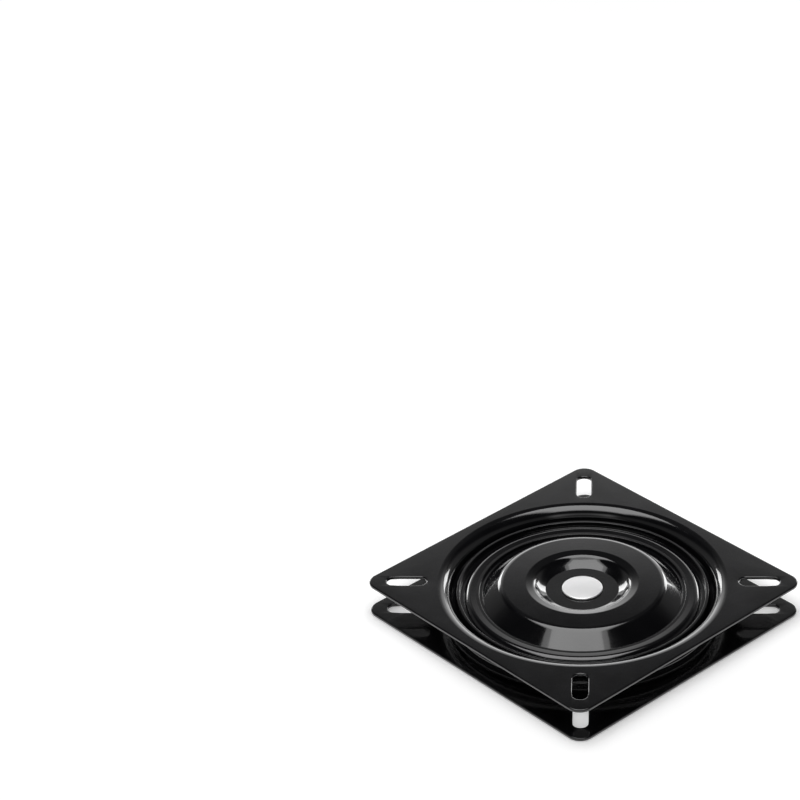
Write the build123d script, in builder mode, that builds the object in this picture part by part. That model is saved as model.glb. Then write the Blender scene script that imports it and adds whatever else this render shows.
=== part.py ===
from build123d import *
import os
from math import cos, radians, sin, tan

os.makedirs("parts", exist_ok=True)

# Ball-bearing seat swivel of pressed steel, in millimetres.
# +Z is the swivel axis. The origin is on it, in the plane that the lower plate is bolted down on.
# The corners of both plates lie on the X and Y axes, so every slot runs along X or Y.

# Plates
plate_side = 177.8
plate_corner_radius = 8.4
plate_sheet = 2.0
overall_height = 21.0
edge_round = 0.3

# Bolt slots, one near each corner, running away from the axis
slot_count = 4
slot_length = 23.0
slot_width = 8.5
slot_edge = 10.044

# Drums: the round walls between flanges and races, inside the plates' sides (to mid-sheet)
drum_inset = 11.9
upper_drum_draw = 0.8
upper_drum_depth = 7.8
lower_drum_offset = 1.0
lower_drum_draw = 0.5
lower_drum_land = 2.0
lower_floor_width = 1.86
cone_run = 4.2
cone_gap = 0.97

# Inside radii of the bends in the plates
upper_drum_bend = 5.6
upper_foot_bend = 1.0
lower_foot_bend = 1.0
lower_top_bend = 0.35
cone_foot_bend = 1.0
lip_bend = 1.5
race_bend = 2.3
race_edge_bend = 1.0
spigot_bend = 0.3
spigot_foot_bend = 0.6
boss_bend = 1.0

# Ball races and the lip of the upper plate, which is held between the two rows
ball_diameter = 3.97
balls_per_row = 24
race_floor = 0.6
race_clearance = 0.08
race_flank_angle = 22.6
race_half_width = 2.4
lip_width = 5.4
lip_clearance = 0.8

# Spigot of the lower plate: the inner wall of its race, and the boss of the web that it carries
spigot_reach = 3.0
boss_radius = 19.6
boss_rise = 2.856

# Retaining ring
ring_sheet = 1.7
ring_lap = 2.2
ring_overhang = 0.1
ring_rim_height = 4.7
ring_land = 2.0
ring_land_bend = 0.85
ring_crown_slope = 4.0
ring_shoulder_angle = 66.0
ring_channel_bend = 0.35
ring_channel_clearance = 0.4
ball_side_clearance = 0.3

# Centre dish
dish_sheet = 2.0
dish_rim_lap = 1.6
dish_rim_width = 1.7
dish_drop = 0.2
dish_foot_bend = 0.5
dish_slope = 36.6
dish_shoulder_bend = 4.5
dish_cup_radius = 20.9
dish_cup_slope = 44.0
dish_cup_shoulder_bend = 6.0
dish_cup_foot_bend = 0.8

# Centre rivet
rivet_head_radius = 11.7
rivet_head_edge = 1.2
rivet_dome = 0.9
rivet_head_round = 0.5
rivet_shank_radius = 6.0
rivet_fit = 0.05
rivet_tail_radius = 9.0
rivet_tail_height = 2.0

# Ball cages
cage_height = 1.4
cage_clearance = 0.3
cage_opening = 1.7
cage_band = 1.1
pocket_clearance = 0.1

# Slots, measured from the rounded tips of the corners
corner_tip = plate_side / 2**0.5 - plate_corner_radius * (2**0.5 - 1)
slot_radius = corner_tip - slot_edge - slot_length / 2

# Radii from the plates' sides inwards, to the middle of the sheet
half_sheet = plate_sheet / 2
upper_drum_radius = plate_side / 2 - drum_inset
upper_foot_radius = upper_drum_radius - upper_drum_draw
lip_outer_radius = upper_foot_radius - cone_run
race_outer_radius = lip_outer_radius - lip_width
race_radius = race_outer_radius - race_half_width
spigot_radius = race_radius - spigot_reach
spigot_mid_radius = spigot_radius - half_sheet
lip_inner_radius = spigot_radius + lip_clearance
lower_drum_radius = upper_drum_radius + lower_drum_offset
lower_top_radius = lower_drum_radius - lower_drum_draw
lower_cone_top_radius = lower_top_radius - lower_drum_land
lower_cone_foot_radius = race_outer_radius + lower_floor_width

# Heights that the stack of races and balls gives, from the lower plate's underside up
ball_radius = ball_diameter / 2
race_gap = ball_diameter + 2 * race_clearance
lower_race_mid = race_floor + half_sheet
lower_ball_height = race_floor + plate_sheet + race_gap / 2
lip_race_mid = race_floor + plate_sheet + race_gap + half_sheet
upper_ball_height = lower_ball_height + race_gap + plate_sheet

# A race is a shallow pressed valley. Its flanks meet below the rounded bottom of the valley.
flank_rise = tan(radians(race_flank_angle))
race_bottom_drop = (race_bend + half_sheet) * (1 / cos(radians(race_flank_angle)) - 1)
race_side_rise = race_half_width * flank_rise - race_bottom_drop
lip_mid = lip_race_mid + race_side_rise
lower_floor_mid = lower_race_mid + race_side_rise

# Cones: the upper plate's cone falls from its drum to the lip, over the lower plate's drum
upper_flange_mid = overall_height - half_sheet
upper_foot_mid = upper_flange_mid - upper_drum_depth
cone_rise = (upper_foot_mid - lip_mid) / cone_run
cone_spacing = (plate_sheet + cone_gap) * (1 + cone_rise**2) ** 0.5
lower_top_mid = lip_mid + (lower_cone_top_radius - lip_outer_radius) * cone_rise - cone_spacing

# Ring: the shoulder bends round the balls, and the flat land inside it lies on the dish's rim
ring_hole_radius = spigot_radius - ring_lap
ring_outer_radius = lip_outer_radius + ring_overhang
shoulder_bend = ball_radius + ball_side_clearance + ring_sheet / 2
shoulder_centre = upper_ball_height + race_clearance - ball_side_clearance
crown_rise = tan(radians(ring_crown_slope))
ring_land_radius = ring_hole_radius + ring_land
crown_mid_at_race = shoulder_centre + shoulder_bend / cos(radians(ring_crown_slope))
ring_land_mid = crown_mid_at_race - (race_radius - ring_land_radius) * crown_rise
ring_seat = ring_land_mid - ring_sheet / 2
shoulder_turn = radians(ring_shoulder_angle + ring_crown_slope)
shoulder_tangent = shoulder_bend * tan(shoulder_turn / 2)
shoulder_corner_radius = (
    race_radius
    - shoulder_bend * sin(radians(ring_crown_slope))
    + shoulder_tangent * cos(radians(ring_crown_slope))
)
shoulder_corner_mid = crown_mid_at_race + (shoulder_corner_radius - race_radius) * crown_rise
channel_mid = lip_mid + half_sheet + ring_channel_clearance + ring_sheet / 2
shoulder_height = shoulder_corner_mid - channel_mid
channel_inner_radius = shoulder_corner_radius + shoulder_height / tan(radians(ring_shoulder_angle))
rim_mid_radius = ring_outer_radius - ring_sheet / 2
rim_top = channel_mid + ring_rim_height

# The bend at the foot of the shoulder is no larger than the straight wall above it has room for
shoulder_wall = shoulder_height / sin(radians(ring_shoulder_angle)) - shoulder_tangent
channel_bend_room = shoulder_wall / tan(radians(ring_shoulder_angle / 2))
channel_bend = min(ring_channel_bend + ring_sheet / 2, channel_bend_room)

# Dish: its rim is clamped between the ring's land and the lower plate's web
dish_foot_radius = ring_hole_radius - dish_rim_width
dish_rim_mid = ring_seat - dish_sheet / 2
dish_rim_radius = ring_hole_radius + dish_rim_lap
web_mid = ring_seat - dish_sheet - half_sheet
dish_top = overall_height - dish_drop
dish_top_mid = dish_top - dish_sheet / 2
dish_fall = tan(radians(dish_slope))
dish_half_turn = tan(radians(dish_slope / 2)) * dish_sheet / 2
dish_foot_mid_radius = dish_foot_radius - dish_half_turn
dish_shoulder_radius = dish_foot_mid_radius - (dish_top_mid - dish_rim_mid) / dish_fall

# Boss: the middle of the lower plate, pressed up to carry the cup's floor
boss_mid = web_mid + boss_rise
boss_foot_radius = boss_radius + boss_rise
boss_underside = boss_mid - half_sheet
rivet_hole_radius = rivet_shank_radius + rivet_fit
cup_floor = boss_mid + half_sheet + dish_sheet
cup_floor_mid = cup_floor - dish_sheet / 2
cup_fall = tan(radians(dish_cup_slope))
cup_half_turn = tan(radians(dish_cup_slope / 2)) * dish_sheet / 2
cup_foot_mid_radius = dish_cup_radius + cup_half_turn
cup_shoulder_radius = cup_foot_mid_radius + (dish_top - cup_floor) / cup_fall

# The flange's section is drawn past the corners of the plate, and the outline trims it
flange_reach = plate_side


def is_cut_edge(edge: Edge) -> bool:
    """Tell a flange's outline and slots, which are cut, from the circle where its drum begins."""
    return edge.geom_type == GeomType.LINE or edge.radius < race_radius / 2


# Square plate that turns, with its drum, cone and lip
with BuildPart() as upper_plate:
    with BuildSketch(Plane.XZ):
        with BuildLine():
            FilletPolyline(
                (flange_reach, upper_flange_mid),
                (upper_drum_radius, upper_flange_mid),
                (upper_foot_radius, upper_foot_mid),
                (lip_outer_radius, lip_mid),
                (race_outer_radius, lip_mid),
                (race_radius, lip_race_mid - race_bottom_drop),
                (lip_inner_radius, lip_race_mid - race_bottom_drop
                 + (race_radius - lip_inner_radius) * flank_rise),
                radius=[
                    upper_drum_bend + half_sheet,
                    upper_foot_bend + half_sheet,
                    lip_bend + half_sheet,
                    race_edge_bend + half_sheet,
                    race_bend + half_sheet,
                ],
            )
        trace(line_width=plate_sheet)
    revolve(axis=Axis.Z)
    with BuildSketch():
        RectangleRounded(plate_side, plate_side, plate_corner_radius, rotation=45)
    extrude(amount=overall_height, mode=Mode.INTERSECT)
    with BuildSketch(Plane.XY.offset(overall_height)):
        with PolarLocations(slot_radius, slot_count):
            SlotOverall(slot_length, slot_width)
    extrude(amount=-2 * plate_sheet, mode=Mode.SUBTRACT)
    flange = upper_plate.faces().filter_by(Axis.Z).filter_by_position(
        Axis.Z, overall_height - plate_sheet, overall_height
    )
    fillet(flange.edges().filter_by(is_cut_edge), edge_round)

upper_plate.part.label = "upper_plate"
export_step(upper_plate.part, "parts/upper_plate.step")


# Square plate that is bolted down, with its drum, cone, race, spigot, web and boss
with BuildPart() as lower_plate:
    with BuildSketch(Plane.XZ):
        with BuildLine():
            FilletPolyline(
                (flange_reach, half_sheet),
                (lower_drum_radius, half_sheet),
                (lower_top_radius, lower_top_mid),
                (lower_cone_top_radius, lower_top_mid),
                (lower_cone_foot_radius, lower_floor_mid),
                (race_outer_radius, lower_floor_mid),
                (race_radius, lower_race_mid - race_bottom_drop),
                (spigot_mid_radius, lower_race_mid - race_bottom_drop
                 + (race_radius - spigot_mid_radius) * flank_rise),
                (spigot_mid_radius, web_mid),
                (boss_foot_radius, web_mid),
                (boss_radius, boss_mid),
                (rivet_hole_radius, boss_mid),
                radius=[
                    lower_foot_bend + half_sheet,
                    lower_top_bend + half_sheet,
                    lower_top_bend + half_sheet,
                    cone_foot_bend + half_sheet,
                    race_edge_bend + half_sheet,
                    race_bend + half_sheet,
                    spigot_foot_bend + half_sheet,
                    spigot_bend + half_sheet,
                    boss_bend + half_sheet,
                    boss_bend + half_sheet,
                ],
            )
        trace(line_width=plate_sheet)
    revolve(axis=Axis.Z)
    with BuildSketch():
        RectangleRounded(plate_side, plate_side, plate_corner_radius, rotation=45)
    extrude(amount=overall_height, mode=Mode.INTERSECT)
    with BuildSketch():
        with PolarLocations(slot_radius, slot_count):
            SlotOverall(slot_length, slot_width)
    extrude(amount=2 * plate_sheet, mode=Mode.SUBTRACT)
    flange = lower_plate.faces().filter_by(Axis.Z).filter_by_position(Axis.Z, 0, plate_sheet)
    fillet(flange.edges().filter_by(is_cut_edge), edge_round)

lower_plate.part.label = "lower_plate"
export_step(lower_plate.part, "parts/lower_plate.step")


# Ring that holds the upper row of balls down, with its crown, channel and upturned rim
with BuildPart() as retaining_ring:
    with BuildSketch(Plane.XZ) as ring_section:
        with BuildLine():
            FilletPolyline(
                (ring_hole_radius, ring_land_mid),
                (ring_land_radius, ring_land_mid),
                (shoulder_corner_radius, shoulder_corner_mid),
                (channel_inner_radius, channel_mid),
                (rim_mid_radius, channel_mid),
                (rim_mid_radius, rim_top),
                radius=[
                    ring_land_bend + ring_sheet / 2,
                    shoulder_bend,
                    channel_bend,
                    ring_channel_bend + ring_sheet / 2,
                ],
            )
        trace(line_width=ring_sheet)
        fillet(ring_section.vertices().group_by(Axis.Y)[-1], edge_round)
        fillet(ring_section.vertices().group_by(Axis.X)[0].sort_by(Axis.Y)[-1], edge_round)
    revolve(axis=Axis.Z)

retaining_ring.part.label = "retaining_ring"
export_step(retaining_ring.part, "parts/retaining_ring.step")


# Dish that the rivet draws down on the lower plate
with BuildPart() as centre_dish:
    with BuildSketch(Plane.XZ):
        with BuildLine():
            FilletPolyline(
                (dish_rim_radius, dish_rim_mid),
                (dish_foot_mid_radius, dish_rim_mid),
                (dish_shoulder_radius, dish_top_mid),
                (cup_shoulder_radius, dish_top_mid),
                (cup_foot_mid_radius, cup_floor_mid),
                (rivet_hole_radius, cup_floor_mid),
                radius=[
                    dish_foot_bend + dish_sheet / 2,
                    dish_shoulder_bend + dish_sheet / 2,
                    dish_cup_shoulder_bend + dish_sheet / 2,
                    dish_cup_foot_bend + dish_sheet / 2,
                ],
            )
        trace(line_width=dish_sheet)
    revolve(axis=Axis.Z)

centre_dish.part.label = "centre_dish"
export_step(centre_dish.part, "parts/centre_dish.step")


# Rivet through the cup's floor and the boss
with BuildPart() as centre_rivet:
    with BuildSketch(Plane.XZ) as rivet_section:
        with BuildLine():
            Polyline(
                (0, cup_floor + rivet_head_edge + rivet_dome),
                (0, boss_underside - rivet_tail_height),
                (rivet_tail_radius, boss_underside - rivet_tail_height),
                (rivet_tail_radius, boss_underside),
                (rivet_shank_radius, boss_underside),
                (rivet_shank_radius, cup_floor),
                (rivet_head_radius, cup_floor),
                (rivet_head_radius, cup_floor + rivet_head_edge),
            )
            RadiusArc(
                (rivet_head_radius, cup_floor + rivet_head_edge),
                (0, cup_floor + rivet_head_edge + rivet_dome),
                -(rivet_head_radius**2 + rivet_dome**2) / (2 * rivet_dome),
            )
        make_face()
        fillet(rivet_section.vertices().group_by(Axis.X)[-1].sort_by(Axis.Y)[-1], rivet_head_round)
    revolve(axis=Axis.Z)

centre_rivet.part.label = "centre_rivet"
export_step(centre_rivet.part, "parts/centre_rivet.step")


# Cage of the upper row: a band inside the balls, and pockets open to the outside
with BuildPart() as upper_ball_cage:
    with BuildSketch(Plane.XY.offset(upper_ball_height - cage_height / 2)):
        Circle(race_radius + cage_opening)
        Circle(dish_rim_radius + cage_clearance, mode=Mode.SUBTRACT)
        with PolarLocations(race_radius, balls_per_row):
            Circle(ball_radius + pocket_clearance, mode=Mode.SUBTRACT)
    extrude(amount=cage_height)

upper_ball_cage.part.label = "upper_ball_cage"
export_step(upper_ball_cage.part, "parts/upper_ball_cage.step")


# Cage of the lower row: a band outside the balls, and pockets open to the inside
with BuildPart() as lower_ball_cage:
    with BuildSketch(Plane.XY.offset(lower_ball_height - cage_height / 2)):
        Circle(race_radius + ball_radius + pocket_clearance + cage_band)
        Circle(race_radius - cage_opening, mode=Mode.SUBTRACT)
        with PolarLocations(race_radius, balls_per_row):
            Circle(ball_radius + pocket_clearance, mode=Mode.SUBTRACT)
    extrude(amount=cage_height)

lower_ball_cage.part.label = "lower_ball_cage"
export_step(lower_ball_cage.part, "parts/lower_ball_cage.step")


# Both rows of balls, each ball in its pocket
for row, height in (("upper", upper_ball_height), ("lower", lower_ball_height)):
    for number, place in enumerate(PolarLocations(race_radius, balls_per_row).locations, 1):
        with BuildPart() as ball:
            with Locations(place * Location((0, 0, height))):
                Sphere(ball_radius)
        ball.part.label = f"{row}_ball_{number:02d}"
        export_step(ball.part, f"parts/{ball.part.label}.step")
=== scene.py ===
"""Looks of a ball-bearing seat swivel.

Two square plates are pressed from sheet steel and stove-enamelled gloss black. The upper one turns
on two rows of balls that a pressed ring holds down, and a dish and a bright rivet hold the ring.
Lengths of the swivel are millimetres, and MM turns them into Blender's metres. Lengths of the
studio are metres, unless their names end in mm.
"""
from __future__ import annotations

import logging
import math
from dataclasses import dataclass
from enum import Enum
from typing import Sequence

import bmesh
import bpy
from mathutils import Matrix, Quaternion, Vector

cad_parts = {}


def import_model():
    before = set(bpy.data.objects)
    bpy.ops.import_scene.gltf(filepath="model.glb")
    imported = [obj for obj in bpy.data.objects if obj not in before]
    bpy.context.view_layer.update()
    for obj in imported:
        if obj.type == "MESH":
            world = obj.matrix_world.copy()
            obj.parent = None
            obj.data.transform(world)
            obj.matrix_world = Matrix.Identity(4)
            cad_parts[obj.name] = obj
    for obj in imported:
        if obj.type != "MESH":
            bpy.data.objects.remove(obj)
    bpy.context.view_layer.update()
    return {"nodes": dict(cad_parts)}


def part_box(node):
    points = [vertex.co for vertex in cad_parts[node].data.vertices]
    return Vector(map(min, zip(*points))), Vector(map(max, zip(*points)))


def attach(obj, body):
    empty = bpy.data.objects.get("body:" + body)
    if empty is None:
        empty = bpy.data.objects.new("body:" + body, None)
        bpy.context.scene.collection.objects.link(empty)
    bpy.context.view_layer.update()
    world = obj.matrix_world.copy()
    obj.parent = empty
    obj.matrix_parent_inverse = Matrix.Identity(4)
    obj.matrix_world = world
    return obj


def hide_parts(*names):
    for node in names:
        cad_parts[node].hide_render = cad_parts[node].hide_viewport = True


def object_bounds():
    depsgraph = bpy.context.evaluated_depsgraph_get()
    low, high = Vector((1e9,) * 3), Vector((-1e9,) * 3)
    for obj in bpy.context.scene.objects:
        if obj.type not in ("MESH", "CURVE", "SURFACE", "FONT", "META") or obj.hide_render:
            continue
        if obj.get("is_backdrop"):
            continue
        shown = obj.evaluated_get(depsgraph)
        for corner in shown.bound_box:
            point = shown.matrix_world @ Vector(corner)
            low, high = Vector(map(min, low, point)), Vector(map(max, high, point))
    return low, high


MM = 0.001
WHITE = "#ffffff"
TURN_STEPS = 192
BEND_STEP_DEGREES = 7.5
LEAST_BEND_STEPS = 2
SLOT_END_STEPS = 16
CORNER_STEPS = 10
DOME_STEPS = 10
EDGE_STEPS = 4
SHARP_ANGLE_DEGREES = 50.0
SHADING_WEIGHT = 80
# An arc's edges are shorter than this, and the straight sides of outlines and slots are longer.
ARC_EDGE_LIMIT = 3.0 * MM
MERGE_DISTANCE = 0.002 * MM
# A plate's section starts in its flange, this many millimetres outside the first bend.
FLANGE_MARGIN = 0.02
UP = Vector((0.0, 0.0, 1.0))
AXIS_POINT = Vector((0.0, 0.0, 0.0))

logging.basicConfig(level=logging.INFO, format="%(name)s: %(message)s")
log = logging.getLogger("seat swivel")


class Body(Enum):
    """Bodies that the modelled pieces move with. Balls and cages keep those of their nodes."""

    BASE = "base"
    TURNTABLE = "turntable"


class Slot(Enum):
    """Names of material slots for the modelled pieces. Nothing in the script uses them."""

    ENAMEL = "enamelled_steel"
    RIVET = "bright_rivet"


def linear(colour: str) -> tuple[float, float, float, float]:
    """Turn an sRGB hex colour into the linear colour that a shader takes.

    Args:
        colour: Six hex digits after a hash sign, such as "#101112".

    Returns:
        Linear red, green and blue, and an alpha of 1.
    """
    channels = []
    # The numbers are those of the sRGB standard's curve, which is straight near black.
    for place in (1, 3, 5):
        share = int(colour[place:place + 2], 16) / 255
        channels.append(share / 12.92 if share <= 0.04045 else ((share + 0.055) / 1.055) ** 2.4)
    return (channels[0], channels[1], channels[2], 1.0)


def per_metre(size_mm: float) -> float:
    """Scale of a pattern whose features are size_mm apart, on Object coordinates in metres."""
    return 1.0 / (size_mm * MM)


def add_node(
    tree: bpy.types.NodeTree,
    kind: str,
    inputs: dict[object, object] | None = None,
    **settings: object,
) -> bpy.types.Node:
    """Add a shader node with its settings, socket values and links.

    Args:
        tree: Node tree that the node joins.
        kind: Blender's name of the node type.
        inputs: Value or output socket for each input, by the input's name or number.
        settings: Properties of the node itself.

    Returns:
        The new node.
    """
    node = tree.nodes.new(kind)
    for name, value in settings.items():
        setattr(node, name, value)
    for socket, value in (inputs or {}).items():
        if isinstance(value, bpy.types.NodeSocket):
            tree.links.new(value, node.inputs[socket])
        else:
            node.inputs[socket].default_value = value
    return node


def new_material(name: str) -> tuple[bpy.types.Material, bpy.types.NodeTree]:
    """Make a material whose node tree is still empty.

    Args:
        name: The material's name.

    Returns:
        The material and its node tree.
    """
    material = bpy.data.materials.new(name)
    material.use_nodes = True
    material.node_tree.nodes.clear()
    return material, material.node_tree


@dataclass(frozen=True)
class StovedEnamel:
    """Stoved enamel on pressed steel: black paint under a glassy clear skin, on wavy sheet.

    The eye sees a deep black with sharp reflections that the paint's orange peel and the slow
    waves of the sheet disturb a little, and a trace of dust in the gloss.
    """

    name: str = "stoved_black_enamel"
    deep_colour: str = "#070708"
    pale_colour: str = "#101012"
    ior: float = 1.5
    skin_roughness: float = 0.06
    paint_gloss: float = 0.25
    paint_roughness_low: float = 0.1
    paint_roughness_high: float = 0.2
    cloud_mm: float = 14.0
    peel_mm: float = 1.7
    peel_depth_mm: float = 0.006
    wave_mm: float = 34.0
    wave_depth_mm: float = 0.05
    dust_mm: float = 0.8
    dust_threshold: float = 0.6
    dust_full: float = 0.78
    dust_strength: float = 0.35
    tone_low: float = 0.3
    tone_high: float = 0.9

    def material(self) -> bpy.types.Material:
        """Build the enamel's material."""
        material, tree = new_material(self.name)
        place = add_node(tree, "ShaderNodeTexCoord").outputs["Object"]
        cloud = add_node(tree, "ShaderNodeTexNoise", {
            "Vector": place, "Scale": per_metre(self.cloud_mm), "Detail": 3.0, "Roughness": 0.6,
        })
        dust = add_node(tree, "ShaderNodeTexNoise", {
            "Vector": place, "Scale": per_metre(self.dust_mm), "Detail": 2.0, "Roughness": 0.7,
        })
        specks = add_node(tree, "ShaderNodeMapRange", {
            "Value": dust.outputs["Fac"], "From Min": self.dust_threshold,
            "From Max": self.dust_full, "To Max": self.dust_strength,
        })
        tone = add_node(tree, "ShaderNodeMath", {
            0: cloud.outputs["Fac"], 1: specks.outputs["Result"],
        }, operation="ADD", use_clamp=True)
        colour = add_node(tree, "ShaderNodeMix", {
            "Factor": tone.outputs[0], "A": linear(self.deep_colour), "B": linear(self.pale_colour),
        }, data_type="RGBA")
        gloss = add_node(tree, "ShaderNodeMapRange", {
            "Value": tone.outputs[0], "From Min": self.tone_low, "From Max": self.tone_high,
            "To Min": self.paint_roughness_low, "To Max": self.paint_roughness_high,
        })
        wave = add_node(tree, "ShaderNodeTexNoise", {
            "Vector": place, "Scale": per_metre(self.wave_mm), "Detail": 1.0,
        })
        sheet_bump = add_node(tree, "ShaderNodeBump", {
            "Height": wave.outputs["Fac"], "Distance": self.wave_depth_mm * MM, "Strength": 1.0,
        })
        peel = add_node(tree, "ShaderNodeTexNoise", {
            "Vector": place, "Scale": per_metre(self.peel_mm), "Detail": 2.0, "Roughness": 0.5,
        })
        peel_bump = add_node(tree, "ShaderNodeBump", {
            "Height": peel.outputs["Fac"], "Distance": self.peel_depth_mm * MM, "Strength": 1.0,
            "Normal": sheet_bump.outputs["Normal"],
        })
        shader = add_node(tree, "ShaderNodeBsdfPrincipled", {
            "Base Color": colour.outputs["Result"], "Roughness": gloss.outputs["Result"],
            "IOR": self.ior, "Specular IOR Level": self.paint_gloss,
            "Normal": peel_bump.outputs["Normal"], "Coat Weight": 1.0,
            "Coat Roughness": self.skin_roughness, "Coat IOR": self.ior,
            "Coat Normal": peel_bump.outputs["Normal"],
        })
        add_node(tree, "ShaderNodeOutputMaterial", {"Surface": shader.outputs["BSDF"]})
        return material


@dataclass(frozen=True)
class TurnedMetal:
    """Bare metal whose last cut or polish went round the axis, which draws out its highlights."""

    name: str
    colour: str
    worn_colour: str
    roughness_low: float
    roughness_high: float
    ring_mm: float
    ring_depth_mm: float
    cloud_mm: float
    ring_waver: float = 0.4
    tone_low: float = 0.25
    tone_high: float = 0.75

    def material(self) -> bpy.types.Material:
        """Build the metal's material. Its IOR stays at the shader's default."""
        material, tree = new_material(self.name)
        place = add_node(tree, "ShaderNodeTexCoord").outputs["Object"]
        cloud = add_node(tree, "ShaderNodeTexNoise", {
            "Vector": place, "Scale": per_metre(self.cloud_mm), "Detail": 4.0, "Roughness": 0.6,
        })
        colour = add_node(tree, "ShaderNodeMix", {
            "Factor": cloud.outputs["Fac"], "A": linear(self.colour), "B": linear(self.worn_colour),
        }, data_type="RGBA")
        gloss = add_node(tree, "ShaderNodeMapRange", {
            "Value": cloud.outputs["Fac"], "From Min": self.tone_low, "From Max": self.tone_high,
            "To Min": self.roughness_low, "To Max": self.roughness_high,
        })
        # A ring texture repeats every pi / 10 of its scaled distance from the axis.
        rings = add_node(tree, "ShaderNodeTexWave", {
            "Vector": place, "Scale": math.pi / 10 * per_metre(self.ring_mm),
            "Distortion": self.ring_waver, "Detail": 1.0,
        }, wave_type="RINGS", rings_direction="Z")
        bump = add_node(tree, "ShaderNodeBump", {
            "Height": rings.outputs["Fac"], "Distance": self.ring_depth_mm * MM, "Strength": 1.0,
        })
        shader = add_node(tree, "ShaderNodeBsdfPrincipled", {
            "Base Color": colour.outputs["Result"], "Roughness": gloss.outputs["Result"],
            "Metallic": 1.0, "Normal": bump.outputs["Normal"],
        })
        add_node(tree, "ShaderNodeOutputMaterial", {"Surface": shader.outputs["BSDF"]})
        return material


@dataclass(frozen=True)
class MouldedNylon:
    """Natural nylon as moulded.

    The eye sees a milky cream that lets a little light in, with a fine satin skin.
    """

    name: str = "moulded_natural_nylon"
    colour: str = "#e3dcc6"
    shade_colour: str = "#d3c9ab"
    ior: float = 1.53
    roughness: float = 0.42
    light_let_in: float = 0.2
    depth_mm: float = 0.6
    grain_mm: float = 0.5
    grain_depth_mm: float = 0.01
    cloud_mm: float = 9.0

    def material(self) -> bpy.types.Material:
        """Build the nylon's material."""
        material, tree = new_material(self.name)
        place = add_node(tree, "ShaderNodeTexCoord").outputs["Object"]
        cloud = add_node(tree, "ShaderNodeTexNoise", {
            "Vector": place, "Scale": per_metre(self.cloud_mm), "Detail": 2.0,
        })
        colour = add_node(tree, "ShaderNodeMix", {
            "Factor": cloud.outputs["Fac"],
            "A": linear(self.colour), "B": linear(self.shade_colour),
        }, data_type="RGBA")
        grain = add_node(tree, "ShaderNodeTexNoise", {
            "Vector": place, "Scale": per_metre(self.grain_mm), "Detail": 2.0,
        })
        bump = add_node(tree, "ShaderNodeBump", {
            "Height": grain.outputs["Fac"], "Distance": self.grain_depth_mm * MM, "Strength": 1.0,
        })
        shader = add_node(tree, "ShaderNodeBsdfPrincipled", {
            "Base Color": colour.outputs["Result"], "Roughness": self.roughness, "IOR": self.ior,
            "Subsurface Weight": self.light_let_in, "Subsurface Scale": self.depth_mm * MM,
            "Normal": bump.outputs["Normal"],
        })
        add_node(tree, "ShaderNodeOutputMaterial", {"Surface": shader.outputs["BSDF"]})
        return material


@dataclass(frozen=True)
class PaperSweep:
    """Matt white paper under the object. It looks white and still takes a soft shadow."""

    name: str = "white_paper_sweep"
    colour: str = "#fafafa"
    roughness: float = 0.9
    glow: float = 0.2
    fibre_mm: float = 3.0
    fibre_depth_mm: float = 0.02
    fibre_strength: float = 0.3
    fade_start_mm: float = 350.0
    fade_end_mm: float = 1200.0

    def material(self) -> bpy.types.Material:
        """Build the paper's material."""
        material, tree = new_material(self.name)
        place = add_node(tree, "ShaderNodeTexCoord").outputs["Object"]
        fibre = add_node(tree, "ShaderNodeTexNoise", {
            "Vector": place, "Scale": per_metre(self.fibre_mm), "Detail": 4.0,
        })
        bump = add_node(tree, "ShaderNodeBump", {
            "Height": fibre.outputs["Fac"], "Distance": self.fibre_depth_mm * MM,
            "Strength": self.fibre_strength,
        })
        path = add_node(tree, "ShaderNodeLightPath")
        paper = add_node(tree, "ShaderNodeBsdfPrincipled", {
            "Base Color": linear(self.colour), "Roughness": self.roughness,
            "Normal": bump.outputs["Normal"],
        })
        mirrored = add_node(tree, "ShaderNodeMath", {
            0: path.outputs["Is Glossy Ray"], 1: path.outputs["Is Transmission Ray"],
        }, operation="MAXIMUM")
        seen = add_node(tree, "ShaderNodeMath", {
            0: path.outputs["Is Camera Ray"], 1: mirrored.outputs[0],
        }, operation="MAXIMUM")
        glow = add_node(tree, "ShaderNodeMath", {
            0: seen.outputs[0], 1: self.glow,
        }, operation="MULTIPLY")
        light = add_node(tree, "ShaderNodeEmission", {"Strength": glow.outputs[0]})
        both = add_node(tree, "ShaderNodeAddShader", {
            0: paper.outputs["BSDF"], 1: light.outputs[0],
        })
        # Far from the object the paper runs into plain white, so that no edge of it shows.
        reach = add_node(tree, "ShaderNodeVectorMath", {0: place}, operation="LENGTH")
        far = add_node(tree, "ShaderNodeMapRange", {
            "Value": reach.outputs["Value"], "From Min": self.fade_start_mm * MM,
            "From Max": self.fade_end_mm * MM,
        }, interpolation_type="SMOOTHSTEP")
        fade = add_node(tree, "ShaderNodeMath", {
            0: seen.outputs[0], 1: far.outputs["Result"],
        }, operation="MULTIPLY")
        white = add_node(tree, "ShaderNodeEmission", {"Color": linear(WHITE), "Strength": 1.0})
        sweep = add_node(tree, "ShaderNodeMixShader", {
            0: fade.outputs[0], 1: both.outputs[0], 2: white.outputs[0],
        })
        add_node(tree, "ShaderNodeOutputMaterial", {"Surface": sweep.outputs[0]})
        return material


ENAMEL = StovedEnamel()
RIVET_STEEL = TurnedMetal(
    name="polished_bright_steel", colour="#fbfbfb", worn_colour="#f1f1f2",
    roughness_low=0.45, roughness_high=0.52, ring_mm=0.55, ring_depth_mm=0.0012, cloud_mm=6.0,
)
BALL_STEEL = TurnedMetal(
    name="polished_ball_steel", colour="#cfd0d3", worn_colour="#bfc0c4",
    roughness_low=0.05, roughness_high=0.1, ring_mm=0.6, ring_depth_mm=0.0004, cloud_mm=2.5,
)
NYLON = MouldedNylon()
PAPER = PaperSweep()


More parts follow.
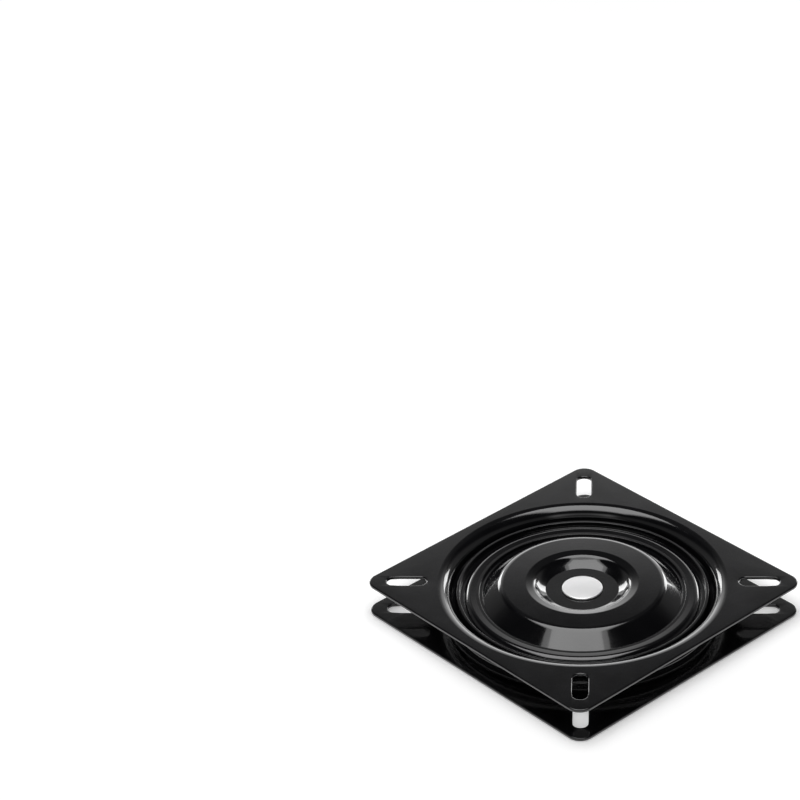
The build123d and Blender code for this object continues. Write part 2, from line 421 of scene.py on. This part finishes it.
@dataclass(frozen=True)
class Corner:
    """A corner of a sheet's section at the middle of the sheet, where its straight runs meet."""

    radius: float
    height: float
    bend: float = 0.0

    def place(self) -> Vector:
        """The corner as a point in metres, in the plane of X and Z."""
        return Vector((self.radius, 0.0, self.height)) * MM


def draw_section(mesh: bmesh.types.BMesh, corners: Sequence[Corner]) -> None:
    """Draw a section as one line whose corners are true arcs.

    Args:
        mesh: Mesh that takes the line's points and edges.
        corners: The section's corners in order. The first and the last end the line.
    """
    last = mesh.verts.new(corners[0].place())
    for before, corner, after in zip(corners, corners[1:], corners[2:]):
        back = (before.place() - corner.place()).normalized()
        onward = (after.place() - corner.place()).normalized()
        opening = back.angle(onward)
        bend = corner.bend * MM
        centre = corner.place() + (back + onward).normalized() * bend / math.sin(opening / 2)
        start = corner.place() + back * bend / math.tan(opening / 2)
        stop = corner.place() + onward * bend / math.tan(opening / 2)
        first = mesh.verts.new(start)
        mesh.edges.new((last, first))
        turn = math.pi - opening
        steps = max(LEAST_BEND_STEPS, math.ceil(math.degrees(turn) / BEND_STEP_DEGREES))
        arc = bmesh.ops.spin(
            mesh, geom=[first], cent=centre, axis=(start - centre).cross(stop - centre), angle=turn,
            steps=steps, use_merge=False,
        )
        last = arc["geom_last"][0]
    end = mesh.verts.new(corners[-1].place())
    mesh.edges.new((last, end))


def from_flange(corners: Sequence[Corner]) -> list[Corner]:
    """Start a section in the level flange, just outside its first bend.

    Args:
        corners: Corners from the bend between flange and drum inwards.

    Returns:
        The same corners, after one that ends the flange's part of the section.
    """
    drum, foot = corners[0], corners[1]
    fall = abs(drum.height - foot.height)
    opening = math.pi / 2 + math.atan2(drum.radius - foot.radius, fall)
    bend_end = drum.radius + drum.bend / math.tan(opening / 2)
    return [Corner(bend_end + FLANGE_MARGIN, drum.height), *corners]


def spin_section(mesh: bmesh.types.BMesh) -> None:
    """Spin everything drawn so far once round the swivel axis, and close the seam and the poles."""
    bmesh.ops.spin(
        mesh, geom=mesh.verts[:] + mesh.edges[:], cent=AXIS_POINT, axis=UP, angle=math.tau,
        steps=TURN_STEPS, use_merge=True,
    )
    bmesh.ops.remove_doubles(mesh, verts=mesh.verts[:], dist=MERGE_DISTANCE)


def finished_piece(
    name: str, mesh: bmesh.types.BMesh, finish: bpy.types.Material,
) -> bpy.types.Object:
    """Turn a bmesh into a smooth piece at the origin, with its finish.

    Args:
        name: The piece's name.
        mesh: Its mesh, which is freed.
        finish: The material that it is given.

    Returns:
        The new object, linked to the scene.
    """
    bmesh.ops.recalc_face_normals(mesh, faces=mesh.faces[:])
    for face in mesh.faces:
        face.smooth = True
    data = bpy.data.meshes.new(name)
    mesh.to_mesh(data)
    mesh.free()
    data.materials.append(finish)
    piece = bpy.data.objects.new(name, data)
    bpy.context.scene.collection.objects.link(piece)
    return piece


def thicken(piece: bpy.types.Object, sheet: float) -> None:
    """Give a mid-line surface the thickness of its sheet, half to each side.

    Args:
        piece: The surface at the middle of the sheet.
        sheet: Thickness of the sheet in millimetres.
    """
    wall = piece.modifiers.new("sheet", "SOLIDIFY")
    wall.thickness = sheet * MM
    wall.offset = 0.0
    wall.use_even_offset = True
    wall.use_rim = True


def round_edges(piece: bpy.types.Object, radius: float) -> None:
    """Round the cut edges of a piece, and keep its flat and curved faces smooth.

    Args:
        piece: The piece.
        radius: Radius of the rounded edges in millimetres.
    """
    bevel = piece.modifiers.new("rounded edges", "BEVEL")
    bevel.width = radius * MM
    bevel.segments = EDGE_STEPS
    # With the clamp on, the shortest edge that fills a flange narrows every rounding to nothing.
    bevel.use_clamp_overlap = False
    bevel.limit_method = "ANGLE"
    bevel.angle_limit = math.radians(SHARP_ANGLE_DEGREES)
    piece.modifiers.new("even shading", "WEIGHTED_NORMAL").weight = SHADING_WEIGHT


def place_piece(piece: bpy.types.Object, body: Body, node: str) -> None:
    """Let a piece stand for a node of the frame, and report it.

    Args:
        piece: The piece.
        body: Body that it moves with.
        node: Node that it replaces.
    """
    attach(piece, body.value)
    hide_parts(node)
    faces = len(piece.data.polygons)
    log.info("%s: %d faces before its modifiers, on %s", piece.name, faces, body.value)


@dataclass(frozen=True)
class Flange:
    """The flat square rim of a plate, with one slot at each of its corners."""

    corner_radius: float = 8.4
    corner_count: int = 4
    slot_length: float = 23.0
    slot_width: float = 8.5
    slot_radius: float = 100.7

    def fill(self, mesh: bmesh.types.BMesh, node: str, height: float) -> None:
        """Fill the flange between the drum's circle and the square outline.

        Args:
            mesh: Spun drum, whose widest circle lies in the flange.
            node: Node of the frame that gives the plate's reach.
            height: Height of the middle of the flange's sheet, in millimetres.
        """
        reach = max(vert.co.xy.length for vert in mesh.verts)
        circle = [
            edge for edge in mesh.edges
            if all(abs(vert.co.xy.length - reach) < MERGE_DISTANCE for vert in edge.verts)
        ]
        border = circle + self.outline(mesh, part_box(node)[1].x, height)
        for number in range(self.corner_count):
            border += self.slot(mesh, math.tau * number / self.corner_count, height)
        bmesh.ops.triangle_fill(mesh, edges=border, use_beauty=True, normal=UP)

    def outline(
        self, mesh: bmesh.types.BMesh, tip: float, height: float,
    ) -> list[bmesh.types.BMEdge]:
        """Draw the square outline with its rounded corners on the X and Y axes.

        Args:
            mesh: Mesh that takes the outline.
            tip: Distance from the axis to a rounded corner, in metres.
            height: Height of the outline in millimetres.

        Returns:
            The outline's edges.
        """
        radius = self.corner_radius * MM
        centre = tip - radius
        turn = Matrix.Rotation(math.tau / self.corner_count, 3, UP)
        start = Vector((centre, 0.0, height * MM)) + Vector((radius, -radius, 0.0)) / math.sqrt(2)
        middle = Vector((centre, 0.0, height * MM))
        edges = []
        firsts = []
        lasts = []
        for _ in range(self.corner_count):
            first = mesh.verts.new(start)
            arc = bmesh.ops.spin(
                mesh, geom=[first], cent=middle, axis=UP, angle=math.pi / 2, steps=CORNER_STEPS,
                use_merge=False,
            )
            firsts.append(first)
            lasts.append(arc["geom_last"][0])
            start = turn @ start
            middle = turn @ middle
        for number, last in enumerate(lasts):
            edges.append(mesh.edges.new((last, firsts[(number + 1) % self.corner_count])))
            edges += self.chain(firsts[number], last)
        return edges

    def slot(
        self, mesh: bmesh.types.BMesh, bearing: float, height: float,
    ) -> list[bmesh.types.BMEdge]:
        """Draw the outline of one slot that runs away from the axis.

        Args:
            mesh: Mesh that takes the outline.
            bearing: Direction of the slot from the axis, in radians.
            height: Height of the outline in millimetres.

        Returns:
            The slot's edges.
        """
        turn = Matrix.Rotation(bearing, 3, UP)
        run = (self.slot_length - self.slot_width) / 2
        ends = []
        edges = []
        for way in (1, -1):
            centre = Vector((self.slot_radius + way * run, 0.0, height)) * MM
            start = centre - Vector((0.0, way * self.slot_width / 2 * MM, 0.0))
            first = mesh.verts.new(turn @ start)
            arc = bmesh.ops.spin(
                mesh, geom=[first], cent=turn @ centre, axis=UP, angle=math.pi,
                steps=SLOT_END_STEPS, use_merge=False,
            )
            ends.append((first, arc["geom_last"][0]))
            edges += self.chain(first, ends[-1][1])
        edges.append(mesh.edges.new((ends[0][1], ends[1][0])))
        edges.append(mesh.edges.new((ends[1][1], ends[0][0])))
        return edges

    @staticmethod
    def chain(first: bmesh.types.BMVert, last: bmesh.types.BMVert) -> list[bmesh.types.BMEdge]:
        """Follow the edges of an arc from its first point to its last.

        Args:
            first: Point where the arc starts, with one arc edge.
            last: Point where it ends.

        Returns:
            The arc's edges in order.
        """
        edges = []
        point = first
        while point is not last:
            step = next(
                edge for edge in point.link_edges
                if edge not in edges
                and not edge.link_faces
                and edge.calc_length() < ARC_EDGE_LIMIT
            )
            edges.append(step)
            point = step.other_vert(point)
        return edges


@dataclass(frozen=True)
class Turntable:
    """The upper plate: flange, drum, cone, and the lip that runs between the two rows of balls."""

    sheet: float = 2.0
    edge_round: float = 0.75
    flange: Flange = Flange()
    drum_radius: float = 77.0
    drum_bend: float = 6.6
    drum_foot_radius: float = 76.2
    drum_foot: float = 12.2
    drum_foot_bend: float = 2.0
    lip_outer_radius: float = 72.0
    lip_height: float = 8.455
    lip_bend: float = 2.5
    race_outer_radius: float = 66.6
    race_edge_bend: float = 2.0
    race_radius: float = 64.2
    race_height: float = 7.456
    race_bend: float = 3.3
    lip_inner_radius: float = 62.0
    lip_inner_height: float = 8.371

    def section(self, top: float) -> list[Corner]:
        """Give the section inside the flange.

        Args:
            top: Height of the middle of the flange's sheet, in millimetres.

        Returns:
            Corners from the flange to the lip's inner edge.
        """
        return from_flange([
            Corner(self.drum_radius, top, self.drum_bend),
            Corner(self.drum_foot_radius, self.drum_foot, self.drum_foot_bend),
            Corner(self.lip_outer_radius, self.lip_height, self.lip_bend),
            Corner(self.race_outer_radius, self.lip_height, self.race_edge_bend),
            Corner(self.race_radius, self.race_height, self.race_bend),
            Corner(self.lip_inner_radius, self.lip_inner_height),
        ])

    def build(self, enamel: bpy.types.Material) -> None:
        """Press the plate and put it on the turntable's body."""
        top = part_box("upper_plate")[1].z / MM - self.sheet / 2
        mesh = bmesh.new()
        draw_section(mesh, self.section(top))
        spin_section(mesh)
        self.flange.fill(mesh, "upper_plate", top)
        piece = finished_piece("turning_plate", mesh, enamel)
        thicken(piece, self.sheet)
        round_edges(piece, self.edge_round)
        place_piece(piece, Body.TURNTABLE, "upper_plate")


@dataclass(frozen=True)
class BasePlate:
    """The lower plate: flange, drum, cone, race, spigot, web, and the boss round the rivet."""

    sheet: float = 2.0
    edge_round: float = 0.75
    flange: Flange = Flange()
    drum_radius: float = 78.0
    drum_bend: float = 2.0
    drum_top_radius: float = 77.5
    drum_top: float = 7.597
    drum_top_bend: float = 1.35
    cone_top_radius: float = 75.5
    cone_foot_radius: float = 68.46
    cone_foot_bend: float = 2.0
    floor_height: float = 2.325
    race_outer_radius: float = 66.6
    race_edge_bend: float = 2.0
    race_radius: float = 64.2
    race_height: float = 1.326
    race_bend: float = 3.3
    spigot_radius: float = 60.2
    spigot_foot: float = 2.991
    spigot_foot_bend: float = 1.6
    web_height: float = 9.644
    web_bend: float = 1.3
    boss_foot_radius: float = 22.456
    boss_radius: float = 19.6
    boss_height: float = 12.5
    boss_bend: float = 2.0
    hole_radius: float = 6.05

    def section(self, flange_height: float) -> list[Corner]:
        """Give the section inside the flange.

        Args:
            flange_height: Height of the middle of the flange's sheet, in millimetres.

        Returns:
            Corners from the flange to the rivet hole.
        """
        return from_flange([
            Corner(self.drum_radius, flange_height, self.drum_bend),
            Corner(self.drum_top_radius, self.drum_top, self.drum_top_bend),
            Corner(self.cone_top_radius, self.drum_top, self.drum_top_bend),
            Corner(self.cone_foot_radius, self.floor_height, self.cone_foot_bend),
            Corner(self.race_outer_radius, self.floor_height, self.race_edge_bend),
            Corner(self.race_radius, self.race_height, self.race_bend),
            Corner(self.spigot_radius, self.spigot_foot, self.spigot_foot_bend),
            Corner(self.spigot_radius, self.web_height, self.web_bend),
            Corner(self.boss_foot_radius, self.web_height, self.boss_bend),
            Corner(self.boss_radius, self.boss_height, self.boss_bend),
            Corner(self.hole_radius, self.boss_height),
        ])

    def build(self, enamel: bpy.types.Material) -> None:
        """Press the plate and put it on the base."""
        middle = self.sheet / 2
        mesh = bmesh.new()
        draw_section(mesh, self.section(middle))
        spin_section(mesh)
        self.flange.fill(mesh, "lower_plate", middle)
        piece = finished_piece("fixed_plate", mesh, enamel)
        thicken(piece, self.sheet)
        round_edges(piece, self.edge_round)
        place_piece(piece, Body.BASE, "lower_plate")


@dataclass(frozen=True)
class HoldDown:
    """What holds the turntable on the base: the ring, the dish that bears on it, and the rivet."""

    ring_sheet: float = 1.7
    ring_edge_round: float = 0.3
    # From its hole over the crown and through the channel to the top of its upturned rim.
    ring_corners: tuple[Corner, ...] = (
        Corner(radius=59.0, height=13.494),
        Corner(radius=61.0, height=13.494, bend=1.7),
        Corner(radius=66.338, height=13.867, bend=3.135),
        Corner(radius=67.489, height=10.705, bend=1.2),
        Corner(radius=71.25, height=10.705, bend=1.2),
        Corner(radius=71.25, height=15.4),
    )
    dish_sheet: float = 2.0
    dish_edge_round: float = 0.3
    # From its clamped rim up to its pressed top, which falls a little outwards, and over the
    # broad lip of its cup down the hollow wall to the rivet hole.
    dish_corners: tuple[Corner, ...] = (
        Corner(radius=60.6, height=11.644),
        Corner(radius=56.969, height=11.644, bend=1.5),
        Corner(radius=46.39, height=19.5, bend=5.5),
        Corner(radius=32.38, height=19.8, bend=4.0),
        Corner(radius=27.98, height=19.07, bend=3.0),
        Corner(radius=25.98, height=17.07, bend=12.0),
        Corner(radius=21.15, height=14.5, bend=1.5),
        Corner(radius=6.05, height=14.5),
    )
    head_radius: float = 11.7
    head_edge: float = 1.2
    head_dome: float = 0.9
    head_seat: float = 15.5
    shank_radius: float = 6.0
    tail_radius: float = 9.0
    tail_height: float = 2.0
    tail_seat: float = 11.5
    rivet_edge_round: float = 0.5

    @staticmethod
    def build_sheet(
        name: str,
        node: str,
        corners: Sequence[Corner],
        sheet: float,
        edge_round: float,
        enamel: bpy.types.Material,
    ) -> None:
        """Press one round piece and put it on the base.

        Args:
            name: The piece's name.
            node: Node of the frame that it replaces.
            corners: Corners of its section, in millimetres.
            sheet: Thickness of its sheet in millimetres.
            edge_round: Radius of its cut edges in millimetres.
            enamel: Its finish.
        """
        mesh = bmesh.new()
        draw_section(mesh, corners)
        spin_section(mesh)
        piece = finished_piece(name, mesh, enamel)
        thicken(piece, sheet)
        round_edges(piece, edge_round)
        place_piece(piece, Body.BASE, node)

    def build_rivet(self, steel: bpy.types.Material) -> None:
        """Turn the rivet: a domed head on the cup's floor, a shank, and a tail under the boss."""
        top = self.head_seat + self.head_edge + self.head_dome
        dome_radius = (self.head_radius**2 + self.head_dome**2) / (2 * self.head_dome)
        mesh = bmesh.new()
        crown = mesh.verts.new(Vector((0.0, 0.0, top)) * MM)
        dome = bmesh.ops.spin(
            mesh, geom=[crown], cent=Vector((0.0, 0.0, top - dome_radius)) * MM, axis=(0, 1, 0),
            angle=math.asin(self.head_radius / dome_radius), steps=DOME_STEPS, use_merge=False,
        )
        last = dome["geom_last"][0]
        for radius, height in (
            (self.head_radius, self.head_seat),
            (self.shank_radius, self.head_seat),
            (self.shank_radius, self.tail_seat),
            (self.tail_radius, self.tail_seat),
            (self.tail_radius, self.tail_seat - self.tail_height),
            (0.0, self.tail_seat - self.tail_height),
        ):
            point = mesh.verts.new(Vector((radius, 0.0, height)) * MM)
            mesh.edges.new((last, point))
            last = point
        spin_section(mesh)
        piece = finished_piece("bright_rivet", mesh, steel)
        round_edges(piece, self.rivet_edge_round)
        place_piece(piece, Body.BASE, "centre_rivet")

    def build(self, enamel: bpy.types.Material, steel: bpy.types.Material) -> None:
        """Build the ring, the dish and the rivet."""
        self.build_sheet(
            "ball_ring", "retaining_ring", self.ring_corners, self.ring_sheet,
            self.ring_edge_round, enamel,
        )
        self.build_sheet(
            "clamping_dish", "centre_dish", self.dish_corners, self.dish_sheet,
            self.dish_edge_round, enamel,
        )
        self.build_rivet(steel)


@dataclass(frozen=True)
class BallRow:
    """One row of balls with its moulded cage. Their solids are right, so they are only dressed."""

    row: str

    def dress(
        self,
        nodes: dict[str, bpy.types.Object],
        steel: bpy.types.Material,
        nylon: bpy.types.Material,
    ) -> None:
        """Give the row's balls and cage their finishes.

        Args:
            nodes: The frame's nodes by name.
            steel: Finish of the balls.
            nylon: Finish of the cage.
        """
        dressed = 0
        for name, node in nodes.items():
            if not name.startswith(self.row):
                continue
            finish = nylon if name.endswith("cage") else steel
            node.data.materials.clear()
            node.data.materials.append(finish)
            dressed += 1
        log.info("%s row: %d pieces dressed", self.row, dressed)


def direction(azimuth: float, elevation: float) -> Vector:
    """Give the direction from the object to where it is looked at or lit from.

    Args:
        azimuth: Degrees round the object from the front, towards the right.
        elevation: Degrees above the horizon.

    Returns:
        A vector of length 1.
    """
    turn = math.radians(azimuth)
    rise = math.radians(elevation)
    level = math.cos(rise)
    return Vector((math.sin(turn) * level, -math.cos(turn) * level, math.sin(rise)))


@dataclass(frozen=True)
class Softbox:
    """A rectangular studio lamp that faces the object. Its radiance is what a mirror shows."""

    name: str
    azimuth: float
    elevation: float
    distance: float
    width: float
    height: float
    radiance: float

    def place(self, aim: Vector) -> None:
        """Put the lamp in the scene.

        Args:
            aim: Point that the lamp faces, in metres.
        """
        light = bpy.data.lights.new(self.name, "AREA")
        light.shape = "RECTANGLE"
        light.size = self.width
        light.size_y = self.height
        light.energy = self.radiance * math.pi * self.width * self.height
        lamp = bpy.data.objects.new(self.name, light)
        away = direction(self.azimuth, self.elevation)
        lamp.location = aim + away * self.distance
        lamp.rotation_mode = "QUATERNION"
        lamp.rotation_quaternion = UP.rotation_difference(away)
        lamp.visible_camera = False
        bpy.context.scene.collection.objects.link(lamp)


@dataclass(frozen=True)
class Studio:
    """White paper under a pale tent that is darker overhead, with soft lamps and a camera."""

    floor_size: float = 12.0
    floor_gap_mm: float = 0.05
    ambient: float = 0.3
    tent_strength: float = 1.33
    # The tent's tone by the height of a direction of length 1, which is 0 at the horizon.
    tent_tones: tuple[tuple[float, float], ...] = (
        (0.0, 1.0), (0.36, 1.0), (0.454, 0.8), (0.51, 0.36), (0.536, 0.26), (0.5635, 0.16),
        (0.593, 0.075), (0.643, 0.03), (1.0, 0.03),
    )
    # Shares of that tone at the sides and the front, and where along X and Y they set in.
    side_share: float = 0.12
    side_start: float = 0.3
    side_full: float = 0.5
    front_share: float = 0.15
    front_full: float = -0.98
    front_start: float = -0.82
    lamps: tuple[Softbox, ...] = (
        Softbox("overhead softbox", azimuth=-55.7, elevation=84.7, distance=1.2, width=1.06,
                height=1.16, radiance=1.8),
        Softbox("overhead core", azimuth=-96.5, elevation=85.6, distance=1.2, width=0.86,
                height=0.98, radiance=1.8),
        Softbox("left back strip", azimuth=211.0, elevation=16.6, distance=1.3, width=0.34,
                height=0.3, radiance=6.0),
        Softbox("right back strip", azimuth=149.0, elevation=16.6, distance=1.3, width=0.34,
                height=0.3, radiance=6.0),
        Softbox("back panel", azimuth=180.0, elevation=9.0, distance=1.8, width=1.2,
                height=0.6, radiance=0.6),
    )
    # The camera's place comes from the plates' corners and slots in the photograph.
    camera_azimuth: float = 5.349
    camera_elevation: float = 30.47
    camera_roll: float = 2.971
    camera_distance: float = 1.5372
    camera_aim: tuple[float, float, float] = (-0.0991, 0.0, 0.1418)
    focal_pixels: float = 2781.1
    frame_pixels: float = 800.0
    sensor_mm: float = 36.0
    clip_start: float = 0.05
    clip_end: float = 50.0

    def build_floor(self) -> None:
        """Lay the paper a hair under the plane that the object stands on."""
        mesh = bmesh.new()
        bmesh.ops.create_grid(
            mesh, x_segments=1, y_segments=1, size=self.floor_size / 2,
            matrix=Matrix.Translation(-UP * self.floor_gap_mm * MM),
        )
        floor = finished_piece("paper_floor", mesh, PAPER.material())
        floor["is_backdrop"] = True

    def build_world(self) -> None:
        """Make the tent: white to the camera, darker overhead and in front in reflections."""
        world = bpy.data.worlds.new("studio tent")
        bpy.context.scene.world = world
        world.use_nodes = True
        tree = world.node_tree
        tree.nodes.clear()
        way = add_node(tree, "ShaderNodeTexCoord").outputs["Generated"]
        parts = add_node(tree, "ShaderNodeSeparateXYZ", {0: way})
        ramp = add_node(tree, "ShaderNodeValToRGB", {0: parts.outputs["Z"]})
        stops = ramp.color_ramp.elements
        for number, (place, tone) in ((0, self.tent_tones[0]), (1, self.tent_tones[-1])):
            stops[number].position = place
            stops[number].color = (tone, tone, tone, 1.0)
        for place, tone in self.tent_tones[1:-1]:
            stops.new(place).color = (tone, tone, tone, 1.0)
        aside = add_node(tree, "ShaderNodeMath", {0: parts.outputs["X"]}, operation="ABSOLUTE")
        sides = add_node(tree, "ShaderNodeMapRange", {
            "Value": aside.outputs[0], "From Min": self.side_start, "From Max": self.side_full,
            "To Min": 1.0, "To Max": self.side_share,
        }, interpolation_type="SMOOTHSTEP")
        front = add_node(tree, "ShaderNodeMapRange", {
            "Value": parts.outputs["Y"], "From Min": self.front_full,
            "From Max": self.front_start, "To Min": self.front_share,
        }, interpolation_type="SMOOTHSTEP")
        narrow = add_node(tree, "ShaderNodeMath", {
            0: sides.outputs["Result"], 1: front.outputs["Result"],
        }, operation="MULTIPLY")
        level = add_node(tree, "ShaderNodeMath", {
            0: narrow.outputs[0], 1: self.tent_strength,
        }, operation="MULTIPLY")
        path = add_node(tree, "ShaderNodeLightPath")
        tent = add_node(tree, "ShaderNodeBackground", {
            "Color": ramp.outputs["Color"], "Strength": level.outputs[0],
        })
        even = add_node(tree, "ShaderNodeBackground", {"Strength": self.ambient})
        white = add_node(tree, "ShaderNodeBackground", {"Color": linear(WHITE), "Strength": 1.0})
        mirrored = add_node(tree, "ShaderNodeMixShader", {
            0: path.outputs["Is Glossy Ray"], 1: even.outputs[0], 2: tent.outputs[0],
        })
        seen = add_node(tree, "ShaderNodeMath", {
            0: path.outputs["Is Camera Ray"], 1: path.outputs["Is Transmission Ray"],
        }, operation="MAXIMUM")
        shown = add_node(tree, "ShaderNodeMixShader", {
            0: seen.outputs[0], 1: mirrored.outputs[0], 2: white.outputs[0],
        })
        add_node(tree, "ShaderNodeOutputWorld", {"Surface": shown.outputs[0]})

    def build_camera(self) -> None:
        """Place the camera where the photograph was taken from."""
        data = bpy.data.cameras.new("photo camera")
        data.sensor_width = self.sensor_mm
        data.lens = self.sensor_mm * self.focal_pixels / self.frame_pixels
        data.clip_start = self.clip_start
        data.clip_end = self.clip_end
        camera = bpy.data.objects.new("photo camera", data)
        away = direction(self.camera_azimuth, self.camera_elevation)
        camera.location = Vector(self.camera_aim) + away * self.camera_distance
        camera.rotation_mode = "QUATERNION"
        roll = Quaternion(away, -math.radians(self.camera_roll))
        camera.rotation_quaternion = roll @ (-away).to_track_quat("-Z", "Y")
        bpy.context.scene.collection.objects.link(camera)
        bpy.context.scene.camera = camera

    def build(self) -> None:
        """Set the studio up round the object."""
        bpy.context.scene.view_settings.view_transform = "Standard"
        self.build_floor()
        self.build_world()
        low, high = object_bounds()
        for lamp in self.lamps:
            lamp.place((low + high) / 2)
        self.build_camera()
        lens = bpy.context.scene.camera.data.lens
        log.info("studio: %d lamps, lens %.1f mm", len(self.lamps), lens)


def main() -> None:
    """Build the swivel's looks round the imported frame, and the studio round them."""
    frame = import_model()
    enamel = ENAMEL.material()
    Turntable().build(enamel)
    BasePlate().build(enamel)
    HoldDown().build(enamel, RIVET_STEEL.material())
    ball_steel = BALL_STEEL.material()
    nylon = NYLON.material()
    for row in ("upper_ball", "lower_ball"):
        BallRow(row).dress(frame["nodes"], ball_steel, nylon)
    Studio().build()


if __name__ == "__main__":
    main()
